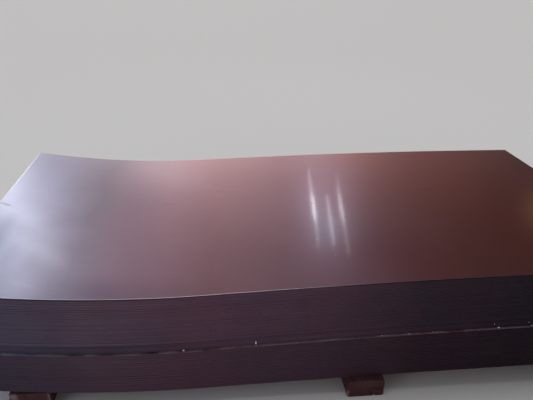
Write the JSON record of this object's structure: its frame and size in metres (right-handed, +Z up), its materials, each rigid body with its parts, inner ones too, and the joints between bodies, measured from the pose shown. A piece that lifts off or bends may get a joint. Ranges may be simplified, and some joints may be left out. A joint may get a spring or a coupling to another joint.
{
  "type": "stack of steel sheets",
  "caption": "Stack of flat steel sheets in packs on timber bearers; the ends curl up and the sheets sag between the bearers.",
  "frame": {"origin": "on the floor, under the middle of the stack", "axes": "+X along the sheets, from the curled end to the flat end, +Z up, and the front long side faces -Y"},
  "size_m": [2.5092, 1.31, 0.482],
  "materials": {
    "sheet_steel": "smooth rolled steel with a thin dark oil film",
    "bearer_timber": "rough sawn and weathered"
  },
  "bodies": {
    "root": {"top_sheet": "sheet_steel", "upper_pack": "sheet_steel", "middle_pack": "sheet_steel", "lower_pack": "sheet_steel", "left_bearer": "bearer_timber", "middle_bearer": "bearer_timber", "right_bearer": "bearer_timber"}
  },
  "joints": []
}
